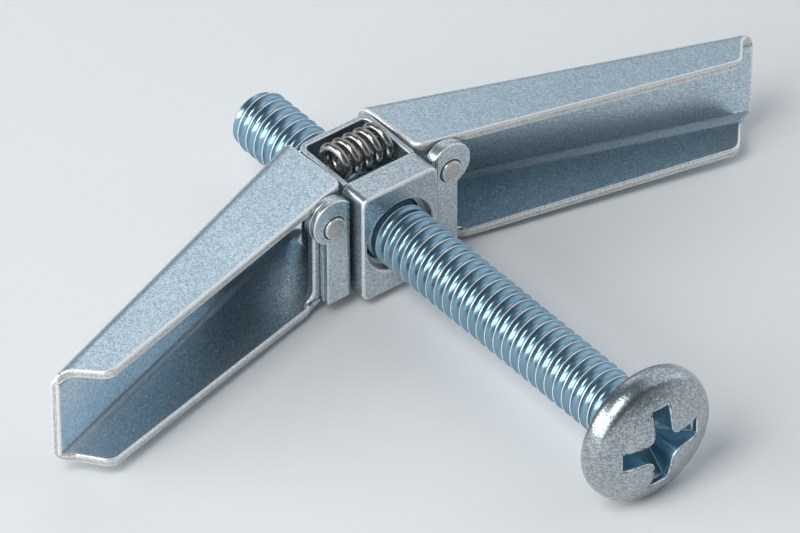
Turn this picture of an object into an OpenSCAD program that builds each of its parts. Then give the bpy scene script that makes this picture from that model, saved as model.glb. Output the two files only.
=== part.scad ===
// Spring toggle bolt: a machine screw carries a nut block and a folded yoke, and two
// spring-loaded channel wings are hinged to the yoke beside the nut.
// Origin: centre of the bearing face under the screw head. +Y runs along the screw to its
// tip, +X to the right wing, +Z up. Millimetres.

/* [Screw] */
// Thread major diameter
screw_d = 6.35; // [6:0.05:6.4]
// Length under the head
screw_len = 58.5; // [56:0.5:70]
// Head diameter
head_d = 14.1; // [13:0.1:15]
// Head height
head_h = 4.1; // [3.6:0.1:4.6]
// Chamfer on the screw's tip
tip_chamfer = 0.8; // [0.4:0.1:1.2]
// Width across the cross recess, tip to tip
recess_span = 9; // [7:0.1:9.4]
// Width of a recess arm
recess_arm = 1.9; // [1.4:0.1:2.2]
// Depth of the recess
recess_depth = 3; // [2:0.1:3.2]

/* [Nut] */
// Distance from the bearing face to the nut's front face
nut_y = 35.5; // [30:0.5:38]
// Width of the nut's front block
nut_w = 9; // [8.9:0.05:9.05]
// Height of the nut's front block
nut_h = 12.2; // [12:0.1:12.6]
// Thickness of the front block
nut_t = 3.3; // [3:0.1:3.4]
// Corner radius of the front block
nut_corner = 0.9; // [0.4:0.1:1.4]
// Diameter of the open mouth in front of the thread
mouth_d = 7.8; // [7.2:0.1:8]
// Depth of the open mouth
mouth_depth = 1.3; // [0.8:0.1:1.6]
// Length of the threaded neck behind the front block
neck_len = 2.5; // [2:0.1:2.8]

/* [Yoke] */
// Outer width of the yoke
yoke_w = 8.5; // [8.4:0.05:8.6]
// Height of the yoke
yoke_h = 12; // [11.6:0.1:12.2]
// Distance from the nut's front face to the back of the yoke
yoke_back = 10.8; // [10.4:0.1:11.2]
// Yoke sheet thickness
yoke_t = 0.6; // [0.5:0.05:0.6]
// Diameter of the clearance hole in the yoke's rear wall
yoke_hole_d = 7; // [6.8:0.1:7.2]

/* [Spring] */
// Outer diameter of the coil
coil_d = 3.9; // [3.6:0.1:4]
// Wire diameter
wire_d = 0.8; // [0.6:0.05:0.8]
// Whole turns in the coil
coil_turns = 5; // [3:1:5]
// Coil pitch
coil_pitch = 1.25; // [1.1:0.05:1.25]
// Height of the coil's axis above the screw's axis
coil_z = 5.75; // [5.6:0.05:6]
// Distance of the coil's axis behind the nut's front face
coil_y = 6.9; // [6.7:0.1:7.1]
// How far from the middle each spring leg reaches
leg_reach = 12; // [10:0.5:14]

/* [Hinges] */
// Sheet thickness of the hinge straps
strap_t = 0.6; // [0.5:0.05:0.6]
// Hinge pin diameter
hinge_pin_d = 1.3; // [1.2:0.05:1.3]
// Running clearance of the strap on its pin, on the radius
hinge_clearance = 0.05; // [0.02:0.01:0.08]
// Gap between the nut's side and the curl of the strap
hinge_gap = 0.3; // [0.28:0.01:0.35]
// How far each wing folds towards the head, in degrees
fold_max = 75; // [60:1:75]
// Distance of the rivets from the middle
rivet_x = 6.95; // [6.9:0.05:7.1]
// Height of the rivets above the screw's axis
rivet_z = 3.55; // [3.5:0.05:3.6]
// Rivet diameter
rivet_d = 2.3; // [2:0.1:2.4]
// Diameter of the round ear on each strap
ear_d = 4.8; // [4.4:0.1:4.8]
// Height of the ear's centre above the rivet
ear_rise = 0.6; // [0:0.1:0.6]

/* [Wings] */
// Sheet thickness of the wings
wing_t = 0.95; // [0.8:0.05:1]
// Length of a wing along its back edge
wing_len = 39.8; // [34:0.1:42]
// Angle by which the open wings sweep towards the head
wing_sweep = 20; // [16:0.5:22]
// Angle between a wing's back and front edges
wing_taper = 6; // [4:0.5:7]
// Length of a flange's front edge
wing_front_len = 34.2; // [28:0.1:35]
// Height of a wing at its inner end
wing_h = 12.2; // [11.8:0.1:12.4]
// Angle by which each flange drops towards the wing's outer end
wing_drop = 0.8; // [0:0.1:1]
// Angle by which each flange opens towards its front edge
wing_splay = 4; // [0:0.5:6]
// Outer radius of a wing's bends
wing_bend = 1.6; // [1.2:0.1:2]

/* [Hidden] */
$fn = 64;

left = -1;
right = 1;
thread_gap = 0.05;                          // radial clearance of the screw in the nut
arc_steps = 6;                              // straight steps in each rounded outline corner

strap_front = 1.2;                          // strap's front face behind the nut's front face
strap_slit = 0.05;                          // gap between the strap's two layers
strap_bottom = -5.5;
strap_outer_x = 7.8;                        // outer edge of the strap below its ear
ear_z = rivet_z + ear_rise;
rivet_head_d = 3.2;
eye_r = hinge_pin_d / 2 + hinge_clearance;  // bore of the strap's curl
curl_r = eye_r + strap_t;
fold_r = 0.65;                              // tighter fold from the strap's face into its curl
pivot = [nut_w / 2 + hinge_gap + curl_r, strap_front + curl_r];
curl_top = rivet_z - rivet_head_d / 2 - 0.1; // the curl ends below the rivet's head
pin_top = curl_top - 0.1;
pin_bottom = strap_bottom - 0.1;
ear_back = strap_front + 2 * strap_t + strap_slit;

arm_bottom = -3.2;                          // yoke arm that holds the hinge pin
arm_top = -0.4;
arm_angle = 110;                            // direction of the arm from the pin
arm_reach = 1.9;
arm_clearance = 0.12;

lug_inner_x = pivot.x + curl_r + 0.1;       // upright lug of the wing, behind the strap
lug_outer_x = 8.5;
lug_head_d = 4;
rivet_head_t = 0.5;
rivet_proud = 0.25;                         // rivet end in front of the strap

wing_gap = yoke_w / 2 + 0.15;               // flanges stop beside the yoke's walls
wing_rear = 12.4;                           // back edge behind the nut's front face
wing_front = 3.26;                          // front edge behind the nut's front face
corner_r = 1.4;                             // rounded outer front corner of a flange

window_front = 5;                           // yoke window for a spring leg
window_rear = 8.9;
window_bottom = 3.6;
window_top = 4.85;
tenon_d = 1.6;                              // staked tenon of the nut in the yoke's wall
tenon_y = 4.6;
tenon_z = -4.4;
leg_bend = 1.3;                             // bend radius between the coil and a leg

function heading(a) = [cos(a), -sin(a)];
function unit(v) = v / norm(v);

// Outline with each corner i rounded to radius r[i]
function rounded(p, r) = [
    for (i = [0:len(p) - 1])
        let (a = unit(p[(i + len(p) - 1) % len(p)] - p[i]), b = unit(p[(i + 1) % len(p)] - p[i]))
        each r[i] == 0 ? [p[i]] : corner(p[i], a, b, r[i], acos(a * b) / 2)
];
function corner(p, a, b, r, half) =
    let (
        c = p + unit(a + b) * r / sin(half),
        from = p + a * r / tan(half) - c,
        to = p + b * r / tan(half) - c
    )
    [for (k = [0:arc_steps]) let (turn = 90 * k / arc_steps)
        c + r * unit(from * cos(turn) + to * sin(turn))];

// Extrudes an outline drawn in X and Z from y0 to y1
module along_y(y0, y1) {
    translate([0, y1, 0]) rotate([90, 0, 0]) linear_extrude(y1 - y0) children();
}

// Turns about the screw's axis direction: profiles in radius and height stand along +Y
module turned() {
    rotate([-90, 0, 0]) rotate_extrude() children();
}

module on_side(side) {
    if (side == right) children();
    else mirror([1, 0, 0]) children();
}

module at_pivot() {
    translate([pivot.x, nut_y + pivot.y, 0]) children();
}

// Cross recess: two tapered blades and a cone, open towards -Y
module recess() {
    half = recess_span / 2;
    blade = [[-half, -head_h - 0.5], [half, -head_h - 0.5], [half, -head_h + 0.9],
        [1.2, -head_h + recess_depth], [-1.2, -head_h + recess_depth], [-half, -head_h + 0.9]];
    for (turn = [0, 90])
        rotate([0, turn, 0]) translate([0, 0, -recess_arm / 2]) linear_extrude(recess_arm) polygon(blade);
    translate([0, -head_h - 0.5, 0]) rotate([-90, 0, 0])
        cylinder(h = recess_depth + 0.5, r1 = recess_arm * 1.35, r2 = recess_arm * 0.5);
}

module screw() {
    r = screw_d / 2;
    rim = head_d / 2;
    rim_inset = 0.6;
    shoulder = 3.1;
    color("lightsteelblue") difference() {
        turned() polygon(concat(
            [[0, screw_len], [r - tip_chamfer, screw_len], [r, screw_len - tip_chamfer], [r, 0],
             [rim - 0.5, 0], [rim - 0.1, -0.4], [rim, -1.1]],
            [for (a = [18:18:90]) [rim - rim_inset * (1 - cos(a)), -1.1 - (shoulder - 1.1) * sin(a)]],
            [for (k = [1:8]) let (out = 1 - k / 8)
                [(rim - rim_inset) * out, -shoulder - (head_h - shoulder) * (1 - out * out)]]));
        recess();
    }
}

module nut() {
    w = nut_w / 2;
    h = nut_h / 2;
    neck_w = yoke_w / 2 - yoke_t - 0.03;
    neck_top = screw_d / 2 + 0.5;
    color("silver") translate([0, nut_y, 0]) difference() {
        union() {
            along_y(0, nut_t)
                polygon(rounded([[-w, -h], [w, -h], [w, h], [-w, h]], nut_corner * [1, 1, 1, 1]));
            translate([-neck_w, nut_t, -yoke_h / 2]) cube([2 * neck_w, neck_len, yoke_h / 2 + neck_top]);
            translate([-yoke_w / 2, tenon_y, tenon_z]) rotate([0, 90, 0]) cylinder(h = yoke_w, d = tenon_d);
        }
        rotate([-90, 0, 0]) translate([0, 0, -1]) {
            cylinder(h = nut_t + neck_len + 2, r = screw_d / 2 + thread_gap);
            cylinder(h = mouth_depth + 1, d = mouth_d);
        }
    }
}

// Yoke arm seen from above: a tab from the side wall that ends in the middle of the hinge pin
module arm_tip(extra = 0) {
    rotate(arm_angle) translate([-extra, -yoke_t / 2 - extra])
        square([arm_reach + extra, yoke_t + 2 * extra]);
}

module yoke_plan() {
    w = yoke_w / 2;
    i = w - yoke_t;
    yoke_bend = 1.2;
    polygon(rounded(
        [[-w, nut_t], [-i, nut_t], [-i, yoke_back - yoke_t], [i, yoke_back - yoke_t], [i, nut_t], [w, nut_t],
         [w, yoke_back], [-w, yoke_back]],
        [0, 0, yoke_bend - yoke_t, yoke_bend - yoke_t, 0, 0, yoke_bend, yoke_bend]));
}

module arm_plan() {
    bend = pivot + arm_reach * [cos(arm_angle), sin(arm_angle)];
    wall = [yoke_w / 2 - yoke_t / 2, bend.y + 1];
    translate(pivot) arm_tip();
    translate(bend) circle(d = yoke_t);
    translate(bend) rotate(atan2(wall.y - bend.y, wall.x - bend.x))
        translate([0, -yoke_t / 2]) square([norm(wall - bend), yoke_t]);
}

module yoke() {
    color("lightslategray") translate([0, nut_y, 0]) difference() {
        union() {
            translate([0, 0, -yoke_h / 2]) linear_extrude(yoke_h) yoke_plan();
            for (side = [left, right])
                on_side(side) translate([0, 0, arm_bottom]) linear_extrude(arm_top - arm_bottom) arm_plan();
        }
        rotate([-90, 0, 0]) cylinder(h = yoke_back + 1, d = yoke_hole_d);
        translate([-yoke_w, window_front, window_bottom])
            cube([2 * yoke_w, window_rear - window_front, window_top - window_bottom]);
        translate([-yoke_w, tenon_y, tenon_z]) rotate([0, 90, 0]) cylinder(h = 2 * yoke_w, d = tenon_d);
    }
}

module hinge_pin(side) {
    color("gray") on_side(side) at_pivot() difference() {
        translate([0, 0, pin_bottom]) cylinder(h = pin_top - pin_bottom, d = hinge_pin_d);
        translate([0, 0, arm_bottom]) linear_extrude(arm_top - arm_bottom) arm_tip();
    }
}

// Strap folded double round the hinge pin, seen from above with the pin at the origin
module strap_plan() {
    reach = rivet_x + ear_d / 2 - pivot.x;
    hull() {
        circle(r = curl_r);
        translate((fold_r - curl_r) * [1, 1]) circle(r = fold_r);
    }
    translate([0, -curl_r]) square([reach, strap_t]);
    translate([eye_r, -curl_r + strap_t + strap_slit]) square([reach - eye_r, strap_t]);
}

// Outline of the strap seen from the front: upright strip with a round ear at its top
module strap_outline() {
    inner = nut_w / 2;
    translate([inner, strap_bottom]) square([strap_outer_x - inner, ear_z - strap_bottom]);
    translate([rivet_x, ear_z]) circle(d = ear_d);
}

module hinge_leaf(side) {
    tall = 20;
    color("lightsteelblue") on_side(side) difference() {
        intersection() {
            translate([0, nut_y, 0]) along_y(0, 6) strap_outline();
            at_pivot() union() {
                translate([0, 0, -tall]) linear_extrude(tall + curl_top) strap_plan();
                // above the curl only the flat layers and the curled edge go on
                linear_extrude(tall) intersection() {
                    strap_plan();
                    translate([-2 * curl_r, -curl_r]) square([20, ear_back - strap_front]);
                }
            }
        }
        at_pivot() translate([0, 0, -tall]) cylinder(h = tall + curl_top, r = eye_r);
        at_pivot() translate([0, 0, arm_bottom - 0.15]) linear_extrude(arm_top - arm_bottom + 0.3)
            for (turn = [0:fold_max / 5:fold_max]) rotate(turn) arm_tip(arm_clearance);
        translate([rivet_x, nut_y, rivet_z]) rotate([-90, 0, 0]) cylinder(h = 10, d = rivet_d + 0.1);
    }
}

module rivet(side) {
    back = ear_back + wing_t;
    color("darkgray") on_side(side) translate([rivet_x, nut_y, rivet_z]) turned() polygon([
        [0, strap_front - rivet_proud], [rivet_d / 2 - 0.1, strap_front - rivet_proud],
        [rivet_d / 2, strap_front - rivet_proud + 0.1], [rivet_d / 2, back], [rivet_head_d / 2, back],
        [rivet_head_d / 2 - 0.3, back + rivet_head_t], [0, back + rivet_head_t]]);
}

// Wing seen from above
module wing_plan() {
    rear_in = [wing_gap, wing_rear];
    rear_out = rear_in + wing_len * heading(wing_sweep);
    front_in = [wing_gap, wing_front];
    front_out = front_in + wing_front_len * heading(wing_sweep - wing_taper);
    polygon(rounded([rear_in, rear_out, front_out, front_in], [0, 0, corner_r, 0.5]));
}

// Section of a wing's upper half: height across, depth from the web's outer face upwards
module wing_section() {
    flange = 14;
    inner_r = wing_bend - wing_t;
    c = [wing_h / 2 - wing_bend, wing_bend];
    out = [sin(wing_splay), cos(wing_splay)];
    up = [cos(wing_splay), -sin(wing_splay)];
    sweep = [for (k = [0:arc_steps]) (90 - wing_splay) * k / arc_steps];
    polygon(concat(
        [[-1, 0]], [for (a = sweep) c + wing_bend * [sin(a), -cos(a)]],
        [c + wing_bend * up + flange * out, c + inner_r * up + flange * out],
        [for (k = [arc_steps:-1:0]) c + inner_r * [sin(sweep[k]), -cos(sweep[k])]], [[-1, wing_t]]));
}

module wing_half() {
    spare = 6;
    intersection() {
        linear_extrude(wing_h) wing_plan();
        translate([wing_gap, wing_rear, 0]) rotate([0, 0, -wing_sweep]) rotate([0, wing_drop, 0])
            rotate([180, 0, 0]) rotate([0, 90, 0])
                translate([0, 0, -spare]) linear_extrude(wing_len + 2 * spare) wing_section();
    }
}

// Upright lug that the strap is riveted to, bent up from the lower flange
module lug() {
    foot = -wing_h / 2 + 0.2;
    head = wing_h / 2 - wing_t + 0.1;
    along_y(ear_back, ear_back + wing_t) intersection() {
        union() {
            translate([lug_inner_x, foot]) square([lug_outer_x - lug_inner_x, rivet_z - foot]);
            translate([rivet_x, rivet_z]) circle(d = lug_head_d);
        }
        union() {
            translate([lug_inner_x, foot]) square([10, head - foot]);
            translate([0, curl_top + 0.1]) square([20, head - curl_top - 0.1]);
        }
    }
}

module wing(side) {
    color("silver") on_side(side) translate([0, nut_y, 0]) difference() {
        union() {
            wing_half();
            mirror([0, 0, 1]) wing_half();
            lug();
        }
        translate([rivet_x, 0, rivet_z]) rotate([-90, 0, 0]) cylinder(h = 10, d = rivet_d + 0.1);
        translate([rivet_x, 0, ear_z]) rotate([-90, 0, 0]) cylinder(h = ear_back, d = ear_d + 0.3);
        translate([pivot.x, pivot.y, -10]) cylinder(h = 6, r = curl_r + 0.2);
    }
}

// Centre line of the spring: left leg, coil, right leg, as [point, side vector] pairs
coil_r = (coil_d - wire_d) / 2;
coil_half = coil_turns * coil_pitch / 2;
coil_steps = 16;                            // rings in each turn
leg_z = coil_z - coil_r;
left_turn = 109;                            // bend of the left leg, past square
web_inner_y = wing_rear - (leg_reach - wing_gap) * tan(wing_sweep) - wing_t / cos(wing_sweep);
web_at_leg = web_inner_y - wire_d / 2 - 0.1;
coil = [for (k = [0:coil_turns * coil_steps])
    let (a = 360 * k / coil_steps, out = [0, sin(a), -cos(a)])
    [[coil_pitch * k / coil_steps - coil_half, coil_y, coil_z] + coil_r * out, out]];
right_arc = [for (a = [15:15:90])
    [[coil_half + leg_bend * (1 - cos(a)), coil_y + leg_bend * sin(a), leg_z], [0, 0, -1]]];
left_arc = [for (k = [6:-1:1]) let (a = left_turn * k / 6)
    [[-coil_half - leg_bend * (1 - cos(a)), coil_y - leg_bend * sin(a), leg_z], [0, 0, -1]]];
spring_path = concat([[[-leg_reach, web_at_leg, leg_z], [0, 0, -1]]], left_arc, coil, right_arc,
    [[[leg_reach, min(web_at_leg, coil_y + leg_bend), leg_z], [0, 0, -1]]]);

module spring() {
    sides = 10;
    last = len(spring_path) - 1;
    rings = [for (i = [0:last])
        let (
            t = unit(spring_path[min(i + 1, last)][0] - spring_path[max(i - 1, 0)][0]),
            s = spring_path[i][1],
            out = unit(s - (s * t) * t),
            across = cross(t, out)
        )
        [for (j = [0:sides - 1]) let (a = 360 * j / sides)
            spring_path[i][0] + wire_d / 2 * (out * cos(a) + across * sin(a))]];
    color("dimgray") translate([0, nut_y, 0]) polyhedron(
        points = [for (ring = rings) each ring],
        faces = concat(
            [[for (j = [sides - 1:-1:0]) j]],
            [for (i = [0:last - 1], j = [0:sides - 1]) let (n = (j + 1) % sides)
                each [[i * sides + j, i * sides + n, (i + 1) * sides + n],
                      [i * sides + j, (i + 1) * sides + n, (i + 1) * sides + j]]],
            [[for (j = [0:sides - 1]) last * sides + j]]));
}

screw();
nut();
yoke();
spring();
hinge_pin(left);  // hinge_pin_left
hinge_pin(right);  // hinge_pin_right
hinge_leaf(left);  // hinge_leaf_left
hinge_leaf(right);  // hinge_leaf_right
rivet(left);  // rivet_left
rivet(right);  // rivet_right
wing(left);  // wing_left
wing(right);  // wing_right
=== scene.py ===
# Spring toggle bolt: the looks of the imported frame. Lengths are millimetres, turned to
# metres where the meshes are made. +Y runs along the screw to its tip, +X to the right
# wing, +Z up, and the origin is the middle of the bearing face under the screw head.
import math

import bmesh
import bpy
from mathutils import Matrix, Vector

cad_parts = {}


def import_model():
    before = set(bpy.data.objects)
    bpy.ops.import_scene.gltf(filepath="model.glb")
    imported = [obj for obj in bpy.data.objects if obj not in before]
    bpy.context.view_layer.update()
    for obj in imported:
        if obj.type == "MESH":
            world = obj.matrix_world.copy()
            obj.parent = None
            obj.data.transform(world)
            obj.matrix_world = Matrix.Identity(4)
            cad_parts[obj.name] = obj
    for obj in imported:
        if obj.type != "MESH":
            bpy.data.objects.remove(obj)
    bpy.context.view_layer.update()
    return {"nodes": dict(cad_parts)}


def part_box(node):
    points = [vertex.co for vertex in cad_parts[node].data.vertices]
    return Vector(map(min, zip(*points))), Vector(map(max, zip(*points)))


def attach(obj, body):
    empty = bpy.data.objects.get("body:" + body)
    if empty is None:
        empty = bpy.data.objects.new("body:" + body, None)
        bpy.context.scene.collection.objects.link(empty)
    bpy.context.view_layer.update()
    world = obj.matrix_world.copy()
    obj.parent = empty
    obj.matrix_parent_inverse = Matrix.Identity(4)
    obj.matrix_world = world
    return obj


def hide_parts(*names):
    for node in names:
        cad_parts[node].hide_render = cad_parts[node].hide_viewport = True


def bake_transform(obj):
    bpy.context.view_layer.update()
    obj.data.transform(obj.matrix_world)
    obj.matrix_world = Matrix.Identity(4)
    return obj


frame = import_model()

MM = 0.001
LEFT, RIGHT = -1, 1
SIDE_NAME = {LEFT: "left", RIGHT: "right"}


def corners(node):
    """Lowest and highest corner of a frame node, in millimetres."""
    return [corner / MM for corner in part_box(node)]


# ---------------------------------------------------------------- sizes from the frame
screw_lo, screw_hi = corners("screw")
nut_lo = corners("nut")[0]

NUT_Y = nut_lo.y                       # front face of the nut
PITCH = 1.27                           # 20 turns to the inch
THREAD_R = 3.175                       # a quarter-inch screw
THREAD_DEPTH = 0.36                    # under half of a sharp thread's: broad, softly rolled turns
SCREW_LENGTH = screw_hi.y
TIP_CHAMFER = 0.8
HEAD_R = screw_hi.x
HEAD_HEIGHT = -screw_lo.y
JOIN_R = 2.9                           # radius at which the head's underside meets the thread
AROUND = 80                            # steps round the screw and its head


# ---------------------------------------------------------------- mesh helpers
# Numbers that faces carry through the modelling, for the finish that they get at the end.
# On the screw FACE is the thread and CUT the head.
FACE, EDGE, CUT, RECESS, CREASE = range(5)
FACE_KINDS = 5


def mesh_object(name, bm, slots=0):
    """Turns a bmesh into an object, with empty material slots for its face numbers."""
    mesh = bpy.data.meshes.new(name)
    bm.to_mesh(mesh)
    bm.free()
    for _ in range(slots):
        mesh.materials.append(None)
    made = bpy.data.objects.new(name, mesh)
    bpy.context.scene.collection.objects.link(made)
    return made


def new_piece(name, bm, body, materials, replaces=()):
    """Puts a finished mesh in the scene as one piece that rides on a body. Its materials
    are listed in the order of its faces' numbers."""
    piece = mesh_object(name, bm)
    for material in materials:
        piece.data.materials.append(material)
    if body:
        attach(piece, body)
    if replaces:
        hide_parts(*replaces)
    return piece


def apply_modifiers(bm, *settings):
    """Runs modifiers on a bmesh and gives back the result as a new bmesh."""
    work = mesh_object("work", bm, slots=FACE_KINDS)
    for kind, values in settings:
        modifier = work.modifiers.new(kind, kind)
        for key, value in values.items():
            setattr(modifier, key, value)
    result = bpy.data.meshes.new_from_object(work.evaluated_get(bpy.context.evaluated_depsgraph_get()))
    bpy.data.meshes.remove(work.data)
    done = bmesh.new()
    done.from_mesh(result)
    bpy.data.meshes.remove(result)
    return done


def shade(bm, sharp_degrees=None):
    """Smooth shading, with the edges over an angle kept sharp."""
    for face in bm.faces:
        face.smooth = True
    if sharp_degrees is not None:
        for edge in bm.edges:
            if len(edge.link_faces) == 2 and edge.calc_face_angle(0) > math.radians(sharp_degrees):
                edge.smooth = False


def grid_faces(bm, rows, close=False):
    """Joins rows of vertices of one length with quads; close joins each row's ends."""
    for near, far in zip(rows, rows[1:]):
        count = len(near)
        for i in range(count if close else count - 1):
            j = (i + 1) % count
            quad = (near[i], near[j], far[j], far[i])
            if len(set(quad)) == 4:
                bm.faces.new(quad)


# ---------------------------------------------------------------- screw
def thread_profile():
    """One pitch of the thread as (share of the pitch, radius): a narrow crest with
    softened edges, then a broad rounded valley."""
    crest_half = 0.045
    soften = 0.02
    edge_drop = 0.04
    points = [(-crest_half, THREAD_R), (0, THREAD_R), (crest_half, THREAD_R)]
    start = crest_half + soften
    valley = 12
    for k in range(valley + 1):
        share = k / valley
        drop = edge_drop + (THREAD_DEPTH - edge_drop) * (1 - abs(2 * share - 1) ** 3.4)
        points.append((start + share * (1 - 2 * start), THREAD_R - drop))
    return points


def screw_mesh():
    """Head, cross recess and rolled thread of the screw as one closed skin."""
    run_out = 1.4                     # length over which the thread dies out at the head
    touching = 0.02 * MM              # vertices this close are one
    bm = bmesh.new()

    profile = thread_profile()
    turns = int(SCREW_LENGTH / PITCH) + 3

    def on_thread(step, turn, share, radius):
        y = PITCH * (step / AROUND + turn + share)
        y = min(max(y, 0), SCREW_LENGTH)
        near_tip = THREAD_R - TIP_CHAMFER - (y - SCREW_LENGTH)
        blend = min(1, y / run_out)
        r = min(JOIN_R + (radius - JOIN_R) * blend, near_tip)
        angle = 2 * math.pi * step / AROUND
        return bm.verts.new(Vector((r * math.sin(angle), y, r * math.cos(angle))) * MM)

    columns = []
    for step in range(AROUND + 1):
        columns.append([on_thread(step, turn, share, radius)
                        for turn in range(-2, turns) for share, radius in profile])
    grid_faces(bm, columns)
    # The crests take the edge material: a painted highlight line along each crest.
    for face in bm.faces:
        if all(v.co.xz.length > (THREAD_R - 0.01) * MM for v in face.verts):
            face.material_index = EDGE
    bmesh.ops.remove_doubles(bm, verts=bm.verts[:], dist=0.004 * MM)
    loose = [v for v in bm.verts if not v.link_faces]
    bmesh.ops.delete(bm, geom=loose, context="VERTS")

    tip = [e for e in bm.edges if e.is_boundary
           and all(v.co.y > (SCREW_LENGTH - 0.01) * MM for v in e.verts)]
    bmesh.ops.contextual_create(bm, geom=tip)

    head = mesh_object("head", head_mesh())
    bm.from_mesh(head.data)
    bpy.data.meshes.remove(head.data)
    ring = [v for v in bm.verts
            if abs(v.co.y) < 0.001 * MM and abs(v.co.xz.length - JOIN_R * MM) < touching]
    bmesh.ops.remove_doubles(bm, verts=ring, dist=touching)
    bmesh.ops.recalc_face_normals(bm, faces=bm.faces[:])
    shade(bm, 42)
    return bm


def head_profile():
    """Half section of the head as (radius, y), from the screw outwards and over the dome."""
    widest = 0.9                      # height of the head's widest ring over its bearing face
    shoulder = 2.35                   # height at which the side ends and the dome starts
    rim_inset = 0.5                   # how far the side has come in by then
    fullness = 2.1                    # over 2, the dome is flatter in the middle
    points = [(HEAD_R - 0.5, 0), (HEAD_R - 0.26, -0.09), (HEAD_R - 0.1, -0.3), (HEAD_R - 0.02, -0.6),
              (HEAD_R, -widest)]
    rim_turn = math.radians(50)       # the side turns this far inwards before the shoulder
    for k in range(1, 11):
        turn = rim_turn * k / 10
        points.append((HEAD_R - rim_inset * (1 - math.cos(turn)) / (1 - math.cos(rim_turn)),
                       -widest - (shoulder - widest) * math.sin(turn) / math.sin(rim_turn)))
    edge_r = HEAD_R - rim_inset
    for k in range(1, 20):
        out = 1 - k / 20
        points.append((edge_r * out, -shoulder - (HEAD_HEIGHT - shoulder) * (1 - out ** fullness)))
    return points


def cross_outline(reach, half_width, land_r):
    """Outline of the cross recess at one depth, in x and z: each arm has square corners,
    and the lands between the arms are rounded."""
    corner_steps = 6
    inner = half_width + land_r
    points = []
    for turn in range(4):
        arm = [Vector((reach, -half_width)), Vector((reach, half_width))]
        for k in range(corner_steps + 1):
            a = math.radians(270 - 90 * k / corner_steps)
            arm.append(Vector((inner + land_r * math.cos(a), inner + land_r * math.sin(a))))
        points += [Matrix.Rotation(math.radians(90 * turn), 2) @ p for p in arm]
    return points


def recess_cutter():
    """Cross recess: short upright ends, then floors that slope steeply to the middle."""
    # depth, reach of the arms, half width of the arms, radius of the lands' corners
    levels = [(-HEAD_HEIGHT - 1, 4.45, 1.0, 1.0), (-2.6, 4.35, 0.98, 1.0), (-0.4, 1.8, 0.75, 0.6)]
    bm = bmesh.new()
    rings = []
    for y, reach, half_width, land_r in levels:
        rings.append([bm.verts.new(Vector((p.x, y, p.y)) * MM)
                      for p in cross_outline(reach, half_width, land_r)])
    grid_faces(bm, rings, close=True)
    bm.faces.new(rings[0])
    bm.faces.new(reversed(rings[-1]))
    # The recess's faces take the recess material: a painted shade tint.
    for face in bm.faces:
        face.material_index = RECESS
    bmesh.ops.recalc_face_normals(bm, faces=bm.faces[:])
    return bm


def head_mesh():
    """The head alone, open where the thread joins it. Its faces have the number CUT, the
    recess RECESS and the softened edges EDGE."""
    bm = bmesh.new()
    rows = []
    for radius, y in [(JOIN_R, 0)] + head_profile():
        rows.append([bm.verts.new(Vector((radius * math.sin(a), y, radius * math.cos(a))) * MM)
                     for a in [2 * math.pi * k / AROUND for k in range(AROUND)]])
    grid_faces(bm, rows, close=True)
    crown = bm.verts.new(Vector((0, -HEAD_HEIGHT, 0)) * MM)
    last = rows[-1]
    for i in range(AROUND):
        bm.faces.new((last[i], last[(i + 1) % AROUND], crown))
    bm.faces.new(rows[0])
    bmesh.ops.recalc_face_normals(bm, faces=bm.faces[:])

    for face in bm.faces:
        face.material_index = CUT
    cutter = mesh_object("cutter", recess_cutter(), slots=FACE_KINDS)
    bm = apply_modifiers(
        bm, ("BOOLEAN", {"operation": "DIFFERENCE", "solver": "EXACT", "object": cutter}),
        # the bevel's faces take the edge material: a painted highlight
        ("BEVEL", {"width": 0.12 * MM, "segments": 2, "limit_method": "ANGLE",
                   "angle_limit": math.radians(33), "use_clamp_overlap": False, "material": EDGE}))
    bpy.data.meshes.remove(cutter.data)
    cap = [face for face in bm.faces
           if all(abs(v.co.y) < 0.001 * MM and v.co.xz.length < (JOIN_R + 0.1) * MM for v in face.verts)]
    bmesh.ops.delete(bm, geom=cap, context="FACES_ONLY")
    return bm


# ---------------------------------------------------------------- spring
def wire(points, radius, sides=16, first_side=Vector((0, 0, -1))):
    """A round wire along a line of points, closed at both ends."""
    bm = bmesh.new()
    rows = []
    side = first_side
    for i, point in enumerate(points):
        ahead = points[min(i + 1, len(points) - 1)]
        behind = points[max(i - 1, 0)]
        along = (ahead - behind).normalized()
        side = (side - along * side.dot(along)).normalized()
        across = along.cross(side)
        rows.append([bm.verts.new((point + radius * (side * math.cos(a) + across * math.sin(a))) * MM)
                     for a in [2 * math.pi * j / sides for j in range(sides)]])
    grid_faces(bm, rows, close=True)
    bm.faces.new(rows[0])
    bm.faces.new(reversed(rows[-1]))
    bmesh.ops.recalc_face_normals(bm, faces=bm.faces[:])
    shade(bm, 50)
    return bm


# The coil lies across the yoke over the screw; its two legs go out through the yoke's
# windows and press on the wings from inside.
COIL_R = 1.5
WIRE_R = 0.45
COIL_TURNS = 5
COIL_PITCH = 1.25
COIL_HALF = COIL_TURNS * COIL_PITCH / 2
COIL_Y = NUT_Y + 6.9
COIL_Z = 5.75
LEG_Z = COIL_Z - COIL_R
LEG_BEND = 1.3
LEG_REACH = 12
LEG_Y = NUT_Y + 8.12
LEFT_TURN = 109                       # the coil's left end faces the other way: degrees to its leg


def coil_points():
    """Middle of the wire along the coil, from its left end to its right."""
    steps = 36
    points = []
    for k in range(COIL_TURNS * steps + 1):
        a = 2 * math.pi * k / steps
        points.append(Vector((COIL_PITCH * k / steps - COIL_HALF,
                              COIL_Y + COIL_R * math.sin(a), COIL_Z - COIL_R * math.cos(a))))
    return points


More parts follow.
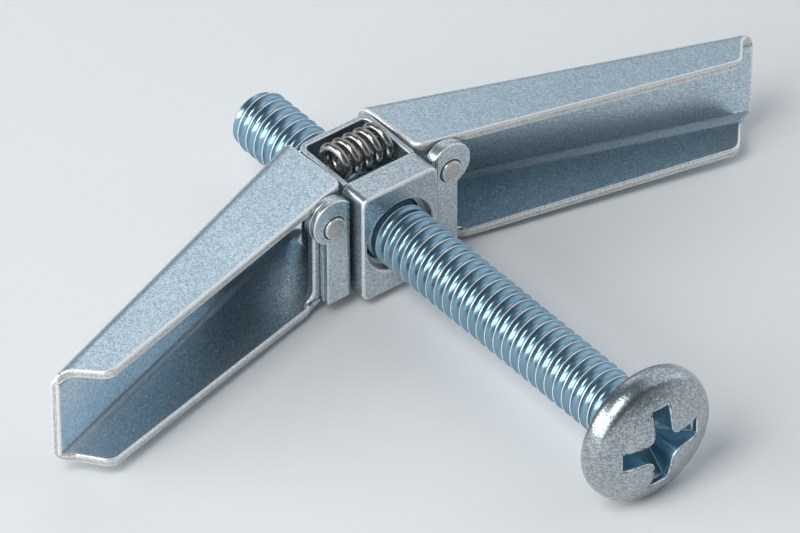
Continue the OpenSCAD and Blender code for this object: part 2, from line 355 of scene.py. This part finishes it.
def leg_points(side):
    """From the coil's end round its bend and out to the wing."""
    turn = 90 if side == RIGHT else LEFT_TURN
    points = []
    for k in range(0, 11):
        a = math.radians(turn * k / 10)
        points.append(Vector((side * (COIL_HALF + LEG_BEND * (1 - math.cos(a))),
                              COIL_Y + side * LEG_BEND * math.sin(a), LEG_Z)))
    end = Vector((side * LEG_REACH, LEG_Y, LEG_Z))
    last = points[-1]
    for k in range(1, 9):
        points.append(last.lerp(end, k / 8))
    return points


# ---------------------------------------------------------------- wings
# Each wing is one blank of sheet, folded twice into a channel. A point of the blank is
# (s, w): s runs along the back edge from the inner end, w across the sheet's outer face
# from the middle of the web, up over the bend and forward over the flange.
WING_SHEET = 0.95
WING_BEND = 1.6
WING_HALF_HEIGHT = 6.1
WING_SWEEP = math.radians(20)
WING_TAPER = math.radians(6)
WING_SPLAY = math.radians(4)
WING_DROP = math.radians(0.8)
WING_LENGTH = 39.8
WING_FRONT_LENGTH = 34.2
WING_INNER_X = 4.4
WING_REAR = NUT_Y + 12.4
WING_FRONT = NUT_Y + 3.26
LUG_FRONT = NUT_Y + 2.45
BEND_TURN = math.pi / 2 - WING_SPLAY
BEND_FOOT = WING_HALF_HEIGHT - WING_BEND                     # w where the bend starts
FLANGE_FOOT = BEND_FOOT + WING_BEND * BEND_TURN              # w where the flange starts
FLANGE_DEPTH = WING_BEND * (1 - math.cos(BEND_TURN))         # depth where the flange starts
BEND_LINES = [BEND_FOOT + (FLANGE_FOOT - BEND_FOOT) * k / 10 for k in range(11)]
ALONG = Vector((math.cos(WING_SWEEP), -math.sin(WING_SWEEP), 0))
FORWARD = Vector((-math.sin(WING_SWEEP), -math.cos(WING_SWEEP), 0))
WING_CORNER = Vector((WING_INNER_X, WING_REAR, 0))


def fold(s, w, inside=False):
    """Where a point of the blank lies on the folded right wing, on the sheet's outer or
    inner face."""
    up = 1 if w >= 0 else -1
    w = abs(w)
    turn = min(max((w - BEND_FOOT) / WING_BEND, 0), BEND_TURN)
    height = min(w, BEND_FOOT) + WING_BEND * math.sin(turn)
    depth = WING_BEND * (1 - math.cos(turn))
    past = max(w - FLANGE_FOOT, 0)
    height += past * math.sin(WING_SPLAY)
    depth += past * math.cos(WING_SPLAY)
    if inside:
        height -= WING_SHEET * math.sin(turn)
        depth += WING_SHEET * math.cos(turn)
    height -= s * math.tan(WING_DROP)
    return WING_CORNER + s * ALONG + depth * FORWARD + Vector((0, 0, up * height))


def across(depth):
    """Distance w on the blank of a point of the flange or bend that lies this deep."""
    if depth >= FLANGE_DEPTH:
        return FLANGE_FOOT + (depth - FLANGE_DEPTH) / math.cos(WING_SPLAY)
    return BEND_FOOT + WING_BEND * math.acos(1 - depth / WING_BEND)


def depth_at(w):
    """How deep a point of the blank lies once it is folded."""
    if w > FLANGE_FOOT:
        return FLANGE_DEPTH + (w - FLANGE_FOOT) * math.cos(WING_SPLAY)
    return WING_BEND * (1 - math.cos(max(w - BEND_FOOT, 0) / WING_BEND))


def on_blank(x, y):
    """Blank point (s, w) of a flange point seen from above at x, y."""
    away = Vector((x, y, 0)) - WING_CORNER
    return Vector((away.dot(ALONG), across(away.dot(FORWARD))))


def round_corner(before, corner, after, radius, steps=7):
    """Points of an arc that rounds off a corner of an outline."""
    back, on = (before - corner).normalized(), (after - corner).normalized()
    half = math.acos(max(-1, min(1, back.dot(on)))) / 2
    centre = corner + (back + on).normalized() * radius / math.sin(half)
    start, end = corner + back * radius / math.tan(half), corner + on * radius / math.tan(half)
    points = []
    for k in range(steps + 1):
        way = start.lerp(end, k / steps) - centre
        points.append(centre + way.normalized() * radius)
    return points


def rounded(corners_and_radii):
    """Closed outline with each corner rounded to its own radius."""
    count = len(corners_and_radii)
    outline = []
    for i, (corner, radius) in enumerate(corners_and_radii):
        if radius:
            before, after = corners_and_radii[i - 1][0], corners_and_radii[(i + 1) % count][0]
            outline += round_corner(before, corner, after, radius)
        else:
            outline.append(corner)
    return outline


def ease(share):
    """Smooth step from 0 to 1."""
    share = min(max(share, 0), 1)
    return 3 * share ** 2 - 2 * share ** 3


def wing_blank():
    """Outline of the flat blank: half of it for each flange, outer end first."""
    outer_corner, inner_corner, cut_corner, cut_foot = 1.5, 1.3, 1.2, 0.7     # their radii
    end_slant = 0.5                       # the flanges' outer ends lean in by this share of depth
    heading = Vector((math.cos(WING_SWEEP - WING_TAPER), -math.sin(WING_SWEEP - WING_TAPER), 0))
    front_in = Vector((WING_INNER_X, WING_FRONT, 0))
    front_out = front_in + WING_FRONT_LENGTH * heading
    end_step = 0.5                        # the flanges stop short of the web's outer end
    tongue_reach = 1.4                    # the lower bend runs on a little behind the yoke
    inner_bend, tongue, outer_bend = [], [], []
    for k, w in enumerate(BEND_LINES):
        share = k / (len(BEND_LINES) - 1)
        inner_bend.append(Vector((depth_at(w) * math.tan(WING_SWEEP), w)))
        tongue.append(inner_bend[-1] - Vector((tongue_reach * ease(1.3 * share), 0)))
    for k in range(9):
        w = BEND_FOOT + (FLANGE_FOOT + 0.6 - BEND_FOOT) * k / 8
        outer_bend.append(Vector((WING_LENGTH - depth_at(w) * end_slant - end_step * ease(k / 8), w)))
    inner_front = on_blank(front_in.x, front_in.y)
    outer_front = on_blank(front_out.x, front_out.y)
    upper = [(p, 0) for p in outer_bend] + [(outer_front, outer_corner), (inner_front, inner_corner)]
    upper += [(p, 0) for p in reversed(inner_bend)]
    # the lower flange is cut back beside the hinge
    cut_start = on_blank(9.6, WING_FRONT - 5.2 * math.tan(WING_SWEEP - WING_TAPER))
    cut_end = on_blank(WING_INNER_X, WING_FRONT + 1.6)
    lower = [(p, 0) for p in outer_bend] + [
        (outer_front, outer_corner), (cut_start, cut_corner), (cut_end, cut_foot)]
    lower += [(p, 0) for p in [inner_bend[-1]] + tongue[-2::-1]]
    flip = [(Vector((p.x, -p.y)), r) for p, r in reversed(lower)]
    return rounded(upper + flip)


def sheet_from_blank(outline):
    """Cuts the blank out, folds it and gives it its thickness. Its cut sides have the
    number CUT and the inner sides of its bends CREASE."""
    bm = bmesh.new()
    blank = bm.faces.new([bm.verts.new((p.x, p.y, 0)) for p in outline])
    for up in (-1, 1):
        for w in BEND_LINES:
            bmesh.ops.bisect_plane(bm, geom=bm.verts[:] + bm.edges[:] + bm.faces[:],
                                   plane_co=(0, up * w, 0), plane_no=(0, 1, 0), dist=1e-5)
    places = {v: (v.co.x, v.co.y) for v in bm.verts}
    inner = {v: bm.verts.new(fold(*place, inside=True) * MM) for v, place in places.items()}
    faces = list(bm.faces)
    rim = [e for e in bm.edges if e.is_boundary]
    for v, place in places.items():
        v.co = fold(*place) * MM
    for face in faces:
        w = sum(abs(places[v][1]) for v in face.verts) / len(face.verts)
        inside = bm.faces.new([inner[v] for v in reversed(face.verts)])
        # Inner faces of the bends take the crease material, a painted highlight.
        inside.material_index = CREASE if BEND_FOOT < w < FLANGE_FOOT else FACE
    for edge in rim:
        a, b = edge.verts
        bm.faces.new((a, b, inner[b], inner[a])).material_index = CUT
    bmesh.ops.recalc_face_normals(bm, faces=bm.faces[:])
    return bm


def plate(outline, y0, y1):
    """A flat upright plate: its outline in x and z, from y0 to y1."""
    bm = bmesh.new()
    rings = [[bm.verts.new(Vector((p.x, y, p.y)) * MM) for p in outline] for y in (y0, y1)]
    grid_faces(bm, rings, close=True)
    bm.faces.new(rings[0])
    bm.faces.new(reversed(rings[1]))
    bmesh.ops.recalc_face_normals(bm, faces=bm.faces[:])
    return bm


def lug_outline():
    """Lug that carries the rivet, bent up out of the lower flange: a flared foot, a
    narrow stem and a round head."""
    stem_in, stem_out = 7.5, 8.5
    foot = -WING_HALF_HEIGHT + 0.1        # a little inside the lower flange, to join it
    foot_rise = 0.55                      # upright part of the foot below its flare
    head_r = 2.0
    rivet = Vector((6.95, 3.55))
    throat = 1.95                         # height at which the stem runs into the head
    flare = 1.3
    points = [Vector((stem_in, foot)), Vector((stem_out + flare, foot))]
    for k in range(7):
        a = math.pi / 2 * k / 6
        points.append(Vector((stem_out + flare * (1 - math.sin(a)),
                              foot + foot_rise + flare * (1 - math.cos(a)))))
    start = math.acos((stem_out - rivet.x) / head_r)
    finish = math.pi + math.asin((rivet.y - throat) / head_r)
    for k in range(25):
        a = -start + (finish + start) * k / 24
        z = min(rivet.y + head_r * math.sin(a), WING_HALF_HEIGHT - WING_SHEET + 0.05)
        points.append(rivet + Vector((head_r * math.cos(a), z - rivet.y)))
    points.append(Vector((stem_in, throat)))
    return points


def wing_mesh(side):
    """A folded channel with its lug; the left wing is the right one's mirror image."""
    lug = mesh_object("lug", plate(lug_outline(), LUG_FRONT, LUG_FRONT + WING_SHEET), slots=FACE_KINDS)
    bm = apply_modifiers(
        sheet_from_blank(wing_blank()),
        ("BOOLEAN", {"operation": "UNION", "solver": "EXACT", "object": lug}),
        # the bevel's faces take the edge material: a painted highlight
        ("BEVEL", {"width": 0.26 * MM, "segments": 3, "limit_method": "ANGLE",
                   "angle_limit": math.radians(50), "use_clamp_overlap": False, "material": EDGE}))
    bpy.data.meshes.remove(lug.data)
    if side == LEFT:
        bmesh.ops.scale(bm, vec=(-1, 1, 1), verts=bm.verts[:])
        bmesh.ops.reverse_faces(bm, faces=bm.faces[:])
    shade(bm)
    return bm


# ---------------------------------------------------------------- materials
def linear(hex_colour):
    """Linear colour from an sRGB hex value."""
    channels = [int(hex_colour[i:i + 2], 16) / 255 for i in (1, 3, 5)]
    return [c / 12.92 if c <= 0.04045 else ((c + 0.055) / 1.055) ** 2.4 for c in channels] + [1]


def add(tree, kind, inputs=None, **settings):
    """Adds a node, sets its properties, and fills its inputs with values or links."""
    node = tree.nodes.new(kind)
    for key, value in settings.items():
        setattr(node, key, value)
    for key, value in (inputs or {}).items():
        if isinstance(value, bpy.types.NodeSocket):
            tree.links.new(value, node.inputs[key])
        else:
            node.inputs[key].default_value = value
    return node


def plated_steel(name, light, dark, roughness, grain=0.12, speckle=0.75, bump=0.4, metallic=0.92,
                 painted_corner_shade=None):
    """Steel with a thin plated coat: metallic, with the fine bright and dark grain of its
    crystals and a little of the broad unevenness of a dipped coat. grain is the crystals'
    size in millimetres; the real ones are finer, and this is the smallest that shows.
    speckle is the grain's share of the unevenness. The corner colour, when given, is painted
    shade: it is blended in where ambient occlusion finds a second wall near, in inner corners."""
    cloud = 9                         # size of the broad unevenness, in millimetres
    corner = 0.7                      # how near a second wall makes an inner corner, in millimetres
    material = bpy.data.materials.new(name)
    material.use_nodes = True
    tree = material.node_tree
    tree.nodes.clear()
    place = add(tree, "ShaderNodeTexCoord")
    fine = add(tree, "ShaderNodeTexNoise", {
        "Vector": place.outputs["Object"], "Scale": 1 / (grain * 2 * MM), "Detail": 1.5, "Roughness": 0.6})
    crystals = add(tree, "ShaderNodeTexVoronoi", {
        "Vector": place.outputs["Object"], "Scale": 1 / (grain * MM)})
    speck = add(tree, "ShaderNodeSeparateColor", {"Color": crystals.outputs["Color"]})
    broad = add(tree, "ShaderNodeTexNoise", {
        "Vector": place.outputs["Object"], "Scale": 1 / (cloud * MM), "Detail": 2.0, "Roughness": 0.5})
    both = add(tree, "ShaderNodeMix", {0: speckle, 2: broad.outputs["Fac"], 3: speck.outputs["Red"]},
               data_type="FLOAT")
    colour = add(tree, "ShaderNodeMix", {
        0: both.outputs[0], 6: linear(dark), 7: linear(light)}, data_type="RGBA")
    tint = colour.outputs[2]
    # Painted shade: the corner colour goes in where ambient occlusion is low.
    if painted_corner_shade:
        open_sky = add(tree, "ShaderNodeAmbientOcclusion", {"Distance": corner * MM}, samples=8)
        proud = add(tree, "ShaderNodeMapRange", {
            "Value": open_sky.outputs["AO"], "From Min": 0.55, "From Max": 0.85})
        tint = add(tree, "ShaderNodeMix", {0: proud.outputs["Result"], 6: linear(painted_corner_shade), 7: tint},
                   data_type="RGBA").outputs[2]
    rough = add(tree, "ShaderNodeMapRange", {
        "Value": both.outputs[0], "From Min": 0.1, "From Max": 0.9,
        "To Min": roughness + 0.06, "To Max": roughness - 0.04})
    relief = add(tree, "ShaderNodeBump", {
        "Height": fine.outputs["Fac"], "Strength": bump, "Distance": grain * 0.2 * MM})
    shader = add(tree, "ShaderNodeBsdfPrincipled", {
        "Base Color": tint, "Metallic": metallic, "Roughness": rough.outputs["Result"],
        "Normal": relief.outputs["Normal"]})
    add(tree, "ShaderNodeOutputMaterial", {"Surface": shader.outputs["BSDF"]})
    return material


# Blue-passivated zinc plate on rolled steel sheet: satin, pale blue-grey, finely speckled
wing_zinc = plated_steel("blue_zinc_plate_sheet", "#e8f4fb", "#93adbd", 0.3)
# The same plate on the pressed nut, yoke and straps
nut_zinc = plated_steel("blue_zinc_plate_nut", "#e2eaef", "#8b9ba4", 0.3)
yoke_zinc = plated_steel("blue_zinc_plate_yoke", "#cfdbe1", "#7d8f99", 0.32)
strap_zinc = plated_steel("blue_zinc_plate_strap", "#eaf2f6", "#99aab4", 0.3)
# Edges painted near-white and half metallic, a painted highlight on the softened edges and the thread's
# crests; painted shade darkens them at inner corners
edge_highlight_zinc = plated_steel("blue_zinc_plate_painted_edge_highlight", "#ffffff", "#e4e8ea", 0.3, bump=0.2, metallic=0.5,
                           painted_corner_shade="#5f727d")
# Cut edges of the sheet: the shear leaves them paler, warmer and rougher than its faces
sheared_zinc = plated_steel("zinc_plate_sheared_edge", "#e9e7e3", "#a8a6a2", 0.36, bump=0.6, metallic=0.7)
# Inner sides of the sheet's bends: paler, half metallic and matt, a painted highlight along the creases
crease_highlight_zinc = plated_steel("zinc_plate_painted_crease_highlight", "#c3d2db", "#98abb6", 0.5, metallic=0.45)
# Blue-passivated zinc plate on a rolled thread: bluer, brighter and smoother
thread_zinc = plated_steel("blue_zinc_plate_thread", "#9fc0d2", "#6f95a9", 0.24, speckle=0.15, bump=0.0)
# The same plate on the pressed head: greyer, with the coarser grain of the blank
head_zinc = plated_steel("zinc_plate_pressed_head", "#d3d9dd", "#7b858c", 0.24, grain=0.14, bump=0.8)
# The recess: a deeper blue-green, the painted tint of the shade inside it
recess_shade_tint_zinc = plated_steel("blue_zinc_plate_recess_painted_shade_tint", "#aed0de", "#7ca8bb", 0.24, speckle=0.4, bump=0.15)
# Nickel-plated rivets: warm and smooth
rivet_nickel = plated_steel("nickel_plate_rivet", "#ddd9d1", "#b0aaa1", 0.3, bump=0.3)
# Plain bright steel pins
pin_steel = plated_steel("bright_steel_pin", "#b4b4b2", "#8c8b88", 0.28)
# Bright drawn spring wire: neutral grey and glossy
spring_steel = plated_steel("bright_spring_wire", "#b9b8b5", "#8a8886", 0.2, bump=0.1)


# ---------------------------------------------------------------- pieces
new_piece("screw_threaded", screw_mesh(), "screw_body",
          [thread_zinc, edge_highlight_zinc, head_zinc, recess_shade_tint_zinc], ["screw"])
new_piece("spring_coil", wire(coil_points(), WIRE_R), "carrier", [spring_steel], ["spring"])
for side in (LEFT, RIGHT):
    name = SIDE_NAME[side]
    leg = new_piece("spring_leg_" + name, wire(leg_points(side), WIRE_R), None,
                    [spring_steel])
    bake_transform(leg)


def even_normals(piece):
    """Flat faces stay flat and only the softened edges turn the light."""
    weighted = piece.modifiers.new("even normals", "WEIGHTED_NORMAL")
    weighted.weight = 60
    weighted.keep_sharp = True


def finish_node(node, material, edge):
    """Gives a frame node soft edges of a width in millimetres, painted near-white as a
    highlight, and its real material."""
    piece = frame["nodes"][node]
    weld = piece.modifiers.new("weld", "WELD")
    weld.merge_threshold = 0.002 * MM
    flat = piece.modifiers.new("flat faces", "DECIMATE")
    flat.decimate_type = "DISSOLVE"
    flat.angle_limit = math.radians(2.5)
    bevel = piece.modifiers.new("soft edges", "BEVEL")
    bevel.width = edge * MM
    bevel.segments = 3
    bevel.limit_method = "ANGLE"
    bevel.angle_limit = math.radians(32)
    bevel.use_clamp_overlap = False
    # The bevel's faces take the edge material: a painted highlight.
    bevel.material = EDGE
    smooth = piece.modifiers.new("smooth", "NODES")
    smooth.node_group = smooth_group
    even_normals(piece)
    while len(piece.data.materials) < 2:
        piece.data.materials.append(None)
    for slot, finish in zip(piece.material_slots, (material, edge_highlight_zinc)):
        slot.link = "OBJECT"
        slot.material = finish


# Frame nodes come with flat shading, and their meshes stay as they are
smooth_group = bpy.data.node_groups.new("shade smooth", "GeometryNodeTree")
smooth_group.interface.new_socket("Geometry", in_out="INPUT", socket_type="NodeSocketGeometry")
smooth_group.interface.new_socket("Geometry", in_out="OUTPUT", socket_type="NodeSocketGeometry")
source = add(smooth_group, "NodeGroupInput")
smoothed = add(smooth_group, "GeometryNodeSetShadeSmooth", {
    "Geometry": source.outputs[0], "Shade Smooth": True})
add(smooth_group, "NodeGroupOutput", {0: smoothed.outputs[0]})

finish_node("nut", nut_zinc, 0.25)
finish_node("yoke", yoke_zinc, 0.12)
for side in (LEFT, RIGHT):
    name = SIDE_NAME[side]
    wing_finishes = [wing_zinc, edge_highlight_zinc, sheared_zinc, wing_zinc, crease_highlight_zinc]
    folded = new_piece("wing_channel_" + name, wing_mesh(side), "wing_%s_body" % name,
                       wing_finishes, ["wing_" + name])
    even_normals(folded)
    finish_node("hinge_leaf_" + name, strap_zinc, 0.12)
    finish_node("rivet_" + name, rivet_nickel, 0.08)
    finish_node("hinge_pin_" + name, pin_steel, 0.08)


# ---------------------------------------------------------------- floor, light, camera
def floor():
    """Pale matt floor that the screw's head rests on."""
    size = 600 * MM
    z = -(HEAD_R + 0.02) * MM
    mesh = bpy.data.meshes.new("floor")
    mesh.from_pydata([(-size, -size, z), (size, -size, z), (size, size, z), (-size, size, z)], [],
                     [(0, 1, 2, 3)])
    material = bpy.data.materials.new("pale_studio_floor")
    material.use_nodes = True
    tree = material.node_tree
    tree.nodes.clear()
    shader = add(tree, "ShaderNodeBsdfPrincipled", {"Base Color": linear("#eeeeee"), "Roughness": 0.9})
    add(tree, "ShaderNodeOutputMaterial", {"Surface": shader.outputs["BSDF"]})
    mesh.materials.append(material)
    made = bpy.data.objects.new("floor", mesh)
    bpy.context.scene.collection.objects.link(made)


def soft_light(name, at, target, size, power):
    """A soft box of a width and height in millimetres, aimed at a target; power in watts."""
    data = bpy.data.lights.new(name, "AREA")
    data.shape = "RECTANGLE"
    data.size, data.size_y = size[0] * MM, size[1] * MM
    data.energy = power
    lamp = bpy.data.objects.new(name, data)
    lamp.location = Vector(at) * MM
    lamp.rotation_mode = "QUATERNION"
    lamp.rotation_quaternion = (Vector(target) - Vector(at)).to_track_quat("-Z", "Y")
    bpy.context.scene.collection.objects.link(lamp)


def camera():
    """Looks down on the nut from the front left through a long lens."""
    azimuth, elevation, roll = math.radians(-37.75), math.radians(39.49), math.radians(-0.21)
    distance = 812
    back = Vector((math.sin(azimuth) * math.cos(elevation), -math.cos(azimuth) * math.cos(elevation),
                   math.sin(elevation)))
    across = Vector((math.cos(azimuth), math.sin(azimuth), 0))
    up = back.cross(across)
    data = bpy.data.cameras.new("camera")
    data.lens = 386.6
    data.sensor_width = 36
    data.clip_start, data.clip_end = 0.01, 10
    made = bpy.data.objects.new("camera", data)
    place = Vector((0, NUT_Y, 0)) + distance * back - 0.08 * across - 3.01 * up
    turn = Matrix((across, up, back)).transposed() @ Matrix.Rotation(roll, 3, "Z")
    made.matrix_world = Matrix.Translation(place * MM) @ turn.to_4x4()
    bpy.context.scene.collection.objects.link(made)
    bpy.context.scene.camera = made


# Broad soft patches of the studio: the way to each, its half angle where it is full and
# where it has faded out, and how bright it is
SOFT_PATCHES = [
    ((0.40, 0.70, 0.59), 12, 36, 0.45),
    ((0.80, -0.12, 0.59), 12, 48, 0.75),
]


def world():
    """Soft grey studio: mid grey at the horizon's sides, darker and cooler overhead, in
    front and behind, with broad pale patches behind and to the right."""
    made = bpy.data.worlds.new("studio")
    bpy.context.scene.world = made
    made.use_nodes = True
    tree = made.node_tree
    tree.nodes.clear()
    way = add(tree, "ShaderNodeTexCoord").outputs["Generated"]
    split = add(tree, "ShaderNodeSeparateXYZ", {"Vector": way})
    height = add(tree, "ShaderNodeValToRGB", {"Fac": split.outputs["Z"]})
    ramp = height.color_ramp
    ramp.elements[0].position, ramp.elements[0].color = 0.0, linear("#c3cacd")
    ramp.elements[1].position, ramp.elements[1].color = 0.6, linear("#4a5b63")
    front = add(tree, "ShaderNodeMapRange", {
        "Value": split.outputs["Y"], "From Min": -0.97, "From Max": -0.45, "To Min": 0.25, "To Max": 1.0})
    back = add(tree, "ShaderNodeMapRange", {
        "Value": split.outputs["Y"], "From Min": 0.55, "From Max": 0.9, "To Min": 1.0, "To Max": 0.2})
    dim = add(tree, "ShaderNodeMath", {0: front.outputs["Result"], 1: back.outputs["Result"]},
              operation="MULTIPLY")
    light = add(tree, "ShaderNodeBackground", {
        "Color": height.outputs["Color"], "Strength": dim.outputs["Value"]})
    total = light.outputs["Background"]
    for direction, full, faded, strength in SOFT_PATCHES:
        facing = add(tree, "ShaderNodeVectorMath", {0: way, 1: Vector(direction).normalized()},
                     operation="DOT_PRODUCT")
        glow = add(tree, "ShaderNodeMapRange", {
            "Value": facing.outputs["Value"], "From Min": math.cos(math.radians(faded)),
            "From Max": math.cos(math.radians(full)), "To Min": 0.0, "To Max": strength},
            interpolation_type="SMOOTHSTEP")
        patch = add(tree, "ShaderNodeBackground", {
            "Color": linear("#f4f8ff"), "Strength": glow.outputs["Result"]})
        both = add(tree, "ShaderNodeAddShader", {0: total, 1: patch.outputs["Background"]})
        total = both.outputs["Shader"]
    add(tree, "ShaderNodeOutputWorld", {"Surface": total})


floor()
world()
soft_light("key_upper_left", (-330, -60, 500), (0, 25, 0), (260, 260), 1.5)
soft_light("left_strip", (-700, 180, 315), (0, 30, 0), (1130, 400), 5.0)
soft_light("left_wing_card", (50, 148, 120), (-25, 25, 6), (70, 70), 0.008)
camera()
bpy.context.scene.view_settings.view_transform = "Standard"
